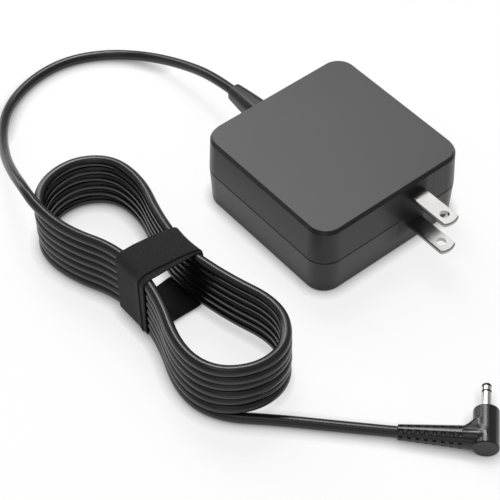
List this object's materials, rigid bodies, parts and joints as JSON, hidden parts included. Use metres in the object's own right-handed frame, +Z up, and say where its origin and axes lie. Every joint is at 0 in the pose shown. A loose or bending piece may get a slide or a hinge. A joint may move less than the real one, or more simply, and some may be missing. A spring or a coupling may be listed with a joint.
{
  "type": "power adapter",
  "caption": "Square wall-plug power adapter with two flat blades, a flat top plate, and a thin output cord wound in a strapped hank that ends in a right-angle barrel plug.",
  "frame": {"origin": "centre of the case's bottom face, on the floor it rests on", "axes": "+Z up; +X towards the blades, away from the strain relief; the hank lies on the -Y side"},
  "size_m": [0.2195, 0.118, 0.0277],
  "materials": {
    "case_plastic": "fine matt grain",
    "plate_plastic": "smooth satin",
    "insert_plastic": "matt",
    "blade_nickel": "bright nickel plate",
    "barrel_nickel": "bright nickel plate",
    "cord_jacket": "smooth satin",
    "strap_fabric": "woven hook-and-loop tape",
    "insulator_plastic": "smooth",
    "contact_brass": "plain",
    "board_laminate": "solder mask",
    "film": "smooth film",
    "capacitor_sleeve": "shrink sleeve",
    "ferrite": "dull sintered",
    "bobbin_plastic": "moulded",
    "winding_tape": "tape",
    "copper_wire": "enamelled",
    "blue_epoxy": "dipped coating",
    "yellow_plastic": "moulded",
    "moulded_black": "moulded",
    "heatsink_metal": "mill finish",
    "screw_steel": "zinc plated",
    "pad_silicone": "soft",
    "wire_insulation": "smooth"
  },
  "bodies": {
    "root": {"lower_shell": "case_plastic", "upper_shell": "case_plastic", "top_plate": "plate_plastic", "plug_insert": "insert_plastic", "blade_upper": "blade_nickel", "blade_lower": "blade_nickel", "strain_relief": "cord_jacket", "circuit_board": "board_laminate", "insulation_film": "film", "bulk_capacitor": "capacitor_sleeve", "output_capacitors": "capacitor_sleeve", "transformer_core": "ferrite", "transformer_bobbin": "bobbin_plastic", "transformer_winding": "winding_tape", "choke_core": "ferrite", "choke_windings": "copper_wire", "input_fuse": "bobbin_plastic", "surge_varistor": "blue_epoxy", "x_capacitor": "yellow_plastic", "bridge_rectifier": "moulded_black", "primary_heatsink": "heatsink_metal", "power_switch": "moulded_black", "secondary_heatsink": "heatsink_metal", "output_rectifier": "moulded_black", "heatsink_screws": "screw_steel", "y_capacitor": "blue_epoxy", "inductor_rod": "ferrite", "inductor_winding": "copper_wire", "optocoupler": "moulded_black", "controller_chip": "moulded_black", "heat_spreader": "heatsink_metal", "thermal_pad": "pad_silicone", "mains_wire_upper": "wire_insulation", "mains_wire_lower": "wire_insulation", "output_wire_positive": "wire_insulation", "output_wire_negative": "wire_insulation", "cord_strap": "strap_fabric", "cord_hank": "cord_jacket", "cord_lead": "cord_jacket", "cord_tail": "cord_jacket", "plug_overmould": "cord_jacket", "plug_barrel": "barrel_nickel", "plug_insulator": "insulator_plastic", "plug_contact": "contact_brass"}
  },
  "joints": []
}
